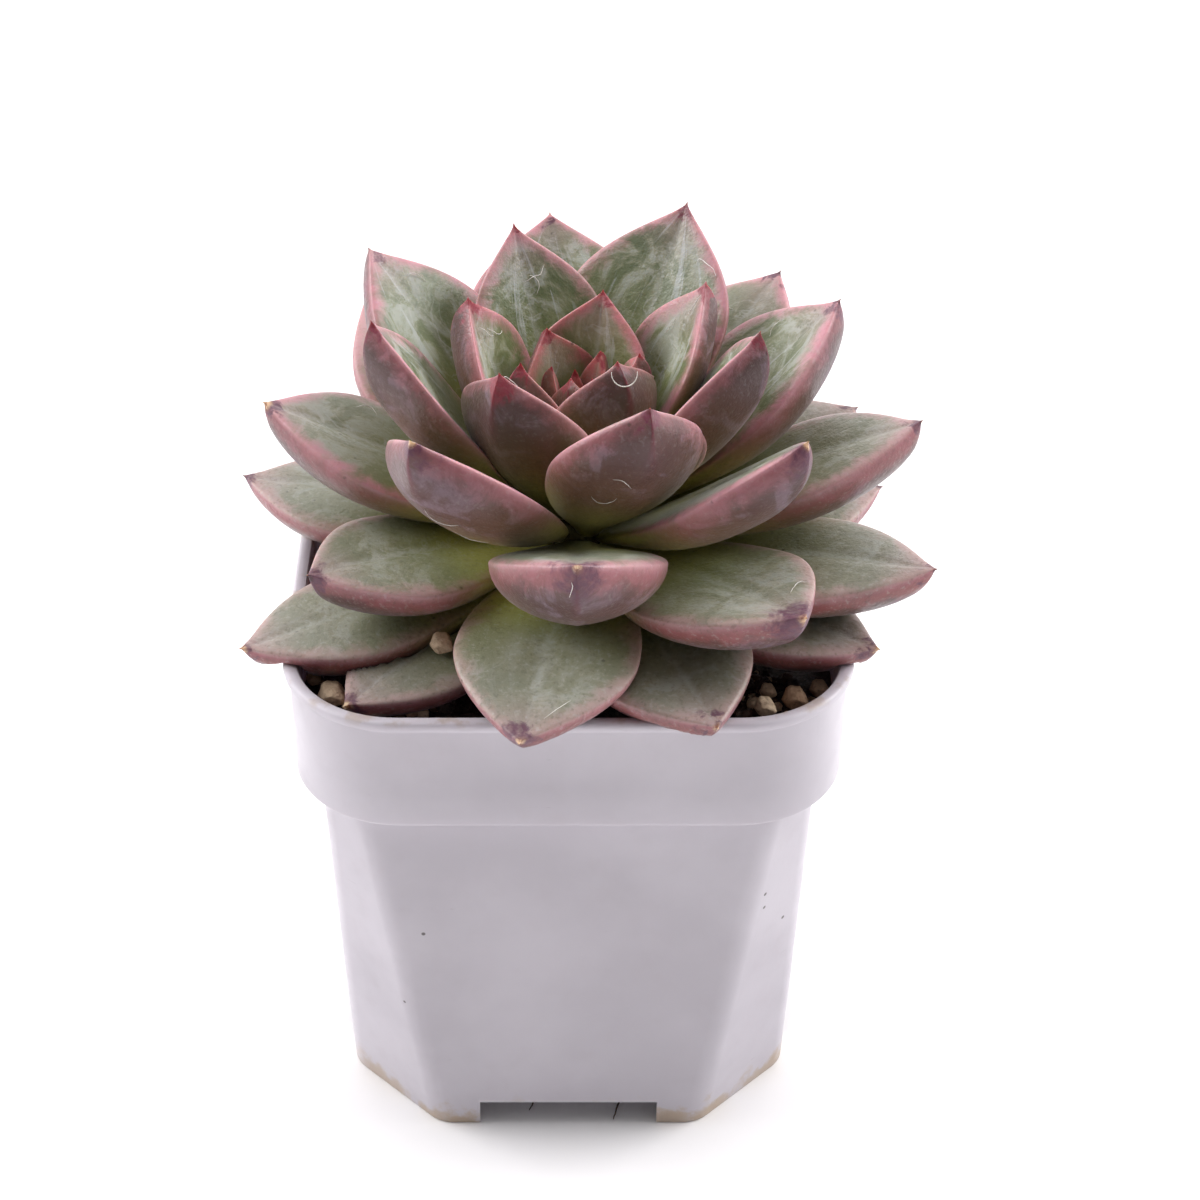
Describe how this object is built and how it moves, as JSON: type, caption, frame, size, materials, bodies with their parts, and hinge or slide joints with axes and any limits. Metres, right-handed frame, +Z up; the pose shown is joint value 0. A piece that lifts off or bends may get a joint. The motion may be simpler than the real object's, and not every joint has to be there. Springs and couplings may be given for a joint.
{
  "type": "potted succulent",
  "caption": "Rosette succulent with keeled, pointed grey-green leaves edged in pink, growing in dark soil in a small square white plastic nursery pot.",
  "frame": {"origin": "centre of the bounding box at the level of the pot's feet", "axes": "+Z up, -Y towards the front of the pot, +X to the right seen from the front"},
  "size_m": [0.092, 0.0907, 0.1183],
  "materials": {
    "pot": "satin white polypropylene, slightly scuffed and soiled near the feet",
    "soil": "damp dark potting mix of peat and composted bark",
    "gravel": "rough tan and brown grit",
    "stem": "matt, smooth young stem",
    "leaf": "fleshy and satin, grey-green above and mauve-brown below under a thin whitish wax bloom, with pink margins and dark tips"
  },
  "bodies": {
    "root": {"pot": "pot", "soil": "soil", "gravel_01": "gravel", "gravel_02": "gravel", "gravel_03": "gravel", "gravel_04": "gravel", "gravel_05": "gravel", "gravel_06": "gravel", "gravel_07": "gravel", "gravel_08": "gravel", "gravel_09": "gravel", "gravel_10": "gravel", "stem": "stem", "leaf_01": "leaf", "leaf_02": "leaf", "leaf_03": "leaf", "leaf_04": "leaf", "leaf_05": "leaf", "leaf_06": "leaf", "leaf_07": "leaf", "leaf_08": "leaf", "leaf_09": "leaf", "leaf_10": "leaf", "leaf_11": "leaf", "leaf_12": "leaf", "leaf_13": "leaf", "leaf_14": "leaf", "leaf_15": "leaf", "leaf_16": "leaf", "leaf_17": "leaf", "leaf_18": "leaf", "leaf_19": "leaf", "leaf_20": "leaf", "leaf_21": "leaf", "leaf_22": "leaf", "leaf_23": "leaf", "leaf_24": "leaf", "leaf_25": "leaf", "leaf_26": "leaf", "leaf_27": "leaf", "leaf_28": "leaf", "leaf_29": "leaf", "leaf_30": "leaf", "leaf_31": "leaf", "leaf_32": "leaf", "leaf_33": "leaf", "leaf_34": "leaf", "leaf_35": "leaf", "leaf_36": "leaf", "leaf_37": "leaf", "leaf_38": "leaf", "leaf_39": "leaf", "leaf_40": "leaf", "leaf_41": "leaf", "leaf_42": "leaf", "leaf_43": "leaf", "leaf_44": "leaf", "leaf_45": "leaf"}
  },
  "joints": []
}
